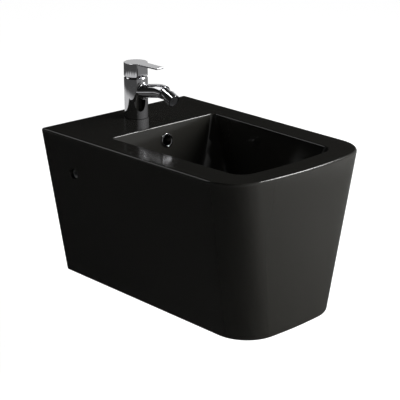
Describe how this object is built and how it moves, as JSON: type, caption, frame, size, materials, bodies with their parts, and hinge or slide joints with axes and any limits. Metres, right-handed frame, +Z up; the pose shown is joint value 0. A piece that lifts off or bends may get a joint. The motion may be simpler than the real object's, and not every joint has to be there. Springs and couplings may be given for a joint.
{
  "type": "wall-hung bidet",
  "caption": "Boxy wall-hung bidet in black glazed ceramic, tapered downwards, with a chromed single-lever mixer, swivel nozzle, push-open waste and hidden wall fixings.",
  "frame": {"origin": "on the wall plane, midway between the axes of the two wall studs", "axes": "+Z up, -Y away from the wall towards the user, +X to the right of someone facing the wall"},
  "size_m": [0.3484, 0.5396, 0.392],
  "materials": {
    "black_glaze": "high gloss black glaze",
    "chrome": "polished chrome plate",
    "steel": "plain zinc or stainless steel",
    "brass": "bare machined brass",
    "rubber": "black rubber",
    "white_plastic": "white moulded plastic",
    "grey_plastic": "grey moulded plastic",
    "disc_ceramic": "ground white technical ceramic"
  },
  "bodies": {
    "fixed": {"ceramic_body": "black_glaze", "overflow_ring": "chrome", "waste_body": "chrome", "waste_gasket": "rubber", "waste_washer": "rubber", "waste_slip_ring": "white_plastic", "waste_backnut": "brass", "click_cartridge": "white_plastic", "click_spring": "steel", "mixer_body": "chrome", "base_seal": "rubber", "mixer_stud": "brass", "horseshoe_gasket": "rubber", "horseshoe_washer": "steel", "mixer_nut": "brass", "cartridge_base": "grey_plastic", "port_seals": "rubber", "cartridge_housing": "grey_plastic", "fixed_disc": "disc_ceramic", "cartridge_nut": "brass", "cover_ring": "chrome", "ball_stud": "brass", "wall_studs": "steel", "fixing_sleeves": "steel", "sleeve_bushes": "white_plastic", "side_screws": "steel", "side_washers": "white_plastic"},
    "rotor": {"spindle_rotor": "white_plastic", "stem_pin": "steel"},
    "lever": {"control_stem": "brass", "lever_handle": "chrome", "handle_screw": "steel", "screw_cover": "chrome"},
    "disc": {"moving_disc": "disc_ceramic", "disc_carrier": "white_plastic"},
    "collar": {"swivel_collar": "chrome"},
    "nozzle": {"nozzle_housing": "chrome", "ball_seat_ring": "white_plastic", "aerator_gasket": "rubber", "aerator_insert": "grey_plastic"},
    "plug": {"plug_cap": "chrome", "plug_seal": "rubber", "click_stem": "steel"}
  },
  "joints": [
    {"name": "handle_turn", "type": "hinge", "parent": "fixed", "child": "rotor", "pos_m": [0, -0.06, 0.135], "axis": [0, 0, 1], "range_deg": [-50, 50]},
    {"name": "handle_lift", "type": "hinge", "parent": "rotor", "child": "lever", "pos_m": [0, -0.06, 0.135], "axis": [-1, 0, 0], "range_deg": [0, 22]},
    {"name": "disc_slide", "type": "slide", "parent": "rotor", "child": "disc", "axis": [0, -1, 0], "range_m": [0, 0.0046]},
    {"name": "nozzle_turn", "type": "hinge", "parent": "fixed", "child": "collar", "pos_m": [0, -0.14098, 0.13313], "axis": [0, -0.9925, -0.1219], "continuous": true},
    {"name": "nozzle_tilt", "type": "hinge", "parent": "collar", "child": "nozzle", "pos_m": [0, -0.14098, 0.13313], "axis": [-1, 0, 0], "range_deg": [-2, 38]},
    {"name": "plug_lift", "type": "slide", "parent": "fixed", "child": "plug", "axis": [0, 0, 1], "range_m": [0, 0.008], "deforming": ["click_spring"]}
  ],
  "couplings": [
    {"joint": "disc_slide", "follows": "handle_lift", "m_per_rad": 0.011707}
  ]
}
